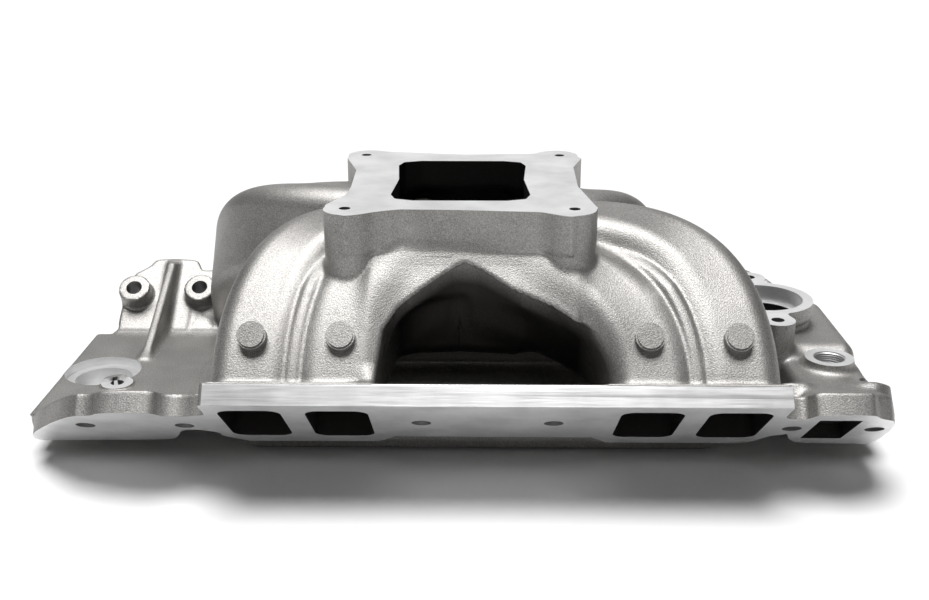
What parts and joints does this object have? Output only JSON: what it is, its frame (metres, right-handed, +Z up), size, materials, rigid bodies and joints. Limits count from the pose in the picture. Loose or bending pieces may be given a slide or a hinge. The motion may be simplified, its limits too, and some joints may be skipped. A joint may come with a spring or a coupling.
{
  "type": "intake manifold",
  "caption": "One-piece cast intake manifold for a vee-eight engine: a four-barrel carburettor pad over an open plenum feeding a curved runner to every port.",
  "frame": {"origin": "centre of the carburettor pad, on its machined face", "axes": "+Z up out of the pad, +X to the front of the engine, +Y to the left bank"},
  "size_m": [0.5205, 0.2862, 0.155],
  "materials": {
    "cast_aluminium": "as cast, matt and grainy",
    "machined_aluminium": "milled, bright satin"
  },
  "bodies": {
    "root": {"carb_flange": "machined_aluminium", "plenum_tower": "cast_aluminium", "plenum_floor": "cast_aluminium", "plenum_front_wall": "cast_aluminium", "plenum_rear_wall": "cast_aluminium", "right_plenum_wall": "cast_aluminium", "left_plenum_wall": "cast_aluminium", "right_front_plenum_wall": "cast_aluminium", "right_rear_plenum_wall": "cast_aluminium", "left_front_plenum_wall": "cast_aluminium", "left_rear_plenum_wall": "cast_aluminium", "right_front_stud_boss": "cast_aluminium", "right_rear_stud_boss": "cast_aluminium", "left_front_stud_boss": "cast_aluminium", "left_rear_stud_boss": "cast_aluminium", "runner_1": "cast_aluminium", "runner_2": "cast_aluminium", "runner_3": "cast_aluminium", "runner_4": "cast_aluminium", "runner_5": "cast_aluminium", "runner_6": "cast_aluminium", "runner_7": "cast_aluminium", "runner_8": "cast_aluminium", "right_port_flange": "machined_aluminium", "left_port_flange": "machined_aluminium", "right_front_flange_end": "cast_aluminium", "right_rear_flange_end": "cast_aluminium", "left_front_flange_end": "cast_aluminium", "left_rear_flange_end": "cast_aluminium", "right_front_pair_rib": "cast_aluminium", "right_rear_pair_rib": "cast_aluminium", "left_front_pair_rib": "cast_aluminium", "left_rear_pair_rib": "cast_aluminium", "valley_pan": "cast_aluminium", "front_pan_ramp": "cast_aluminium", "rear_pan_ramp": "cast_aluminium", "front_deck": "cast_aluminium", "rear_deck": "cast_aluminium", "front_end_rail": "cast_aluminium", "rear_end_rail": "cast_aluminium", "distributor_pad": "machined_aluminium", "hold_down_boss": "machined_aluminium", "rear_gusset_rib": "cast_aluminium", "water_crossover": "cast_aluminium", "thermostat_neck": "cast_aluminium", "thermostat_flange": "machined_aluminium", "coolant_outlet_boss": "machined_aluminium"}
  },
  "joints": []
}
